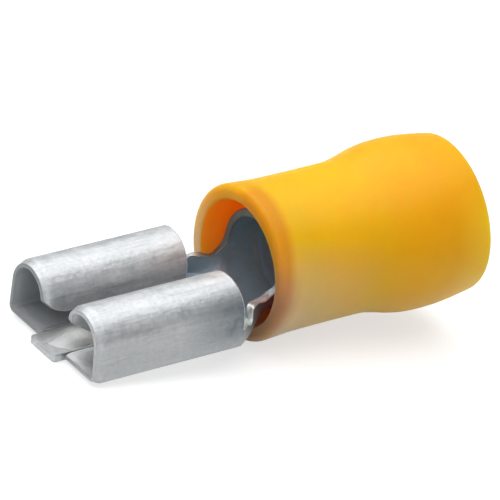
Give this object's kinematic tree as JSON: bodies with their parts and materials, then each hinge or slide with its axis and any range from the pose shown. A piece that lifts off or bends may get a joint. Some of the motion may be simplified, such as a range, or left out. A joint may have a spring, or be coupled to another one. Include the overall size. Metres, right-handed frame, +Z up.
{
  "type": "insulated female spade terminal",
  "caption": "Push-on receptacle for a flat tab, stamped from tinned brass strip, with a wire barrel in a flared plastic sleeve.",
  "frame": {"origin": "on the surface that the terminal lies on, under the centre of its box", "axes": "+X from the tab's mouth towards the wire entry, +Y across the receptacle, +Z up; the terminal's own axis rises 9.0 degrees from +X, because it lies on its tongue and its sleeve's front rim"},
  "size_m": [0.0224, 0.0082, 0.0093],
  "materials": {
    "tinned_brass": "satin",
    "yellow_pvc": "satin"
  },
  "bodies": {
    "root": {"stamped_terminal": "tinned_brass", "insulating_sleeve": "yellow_pvc"}
  },
  "joints": []
}
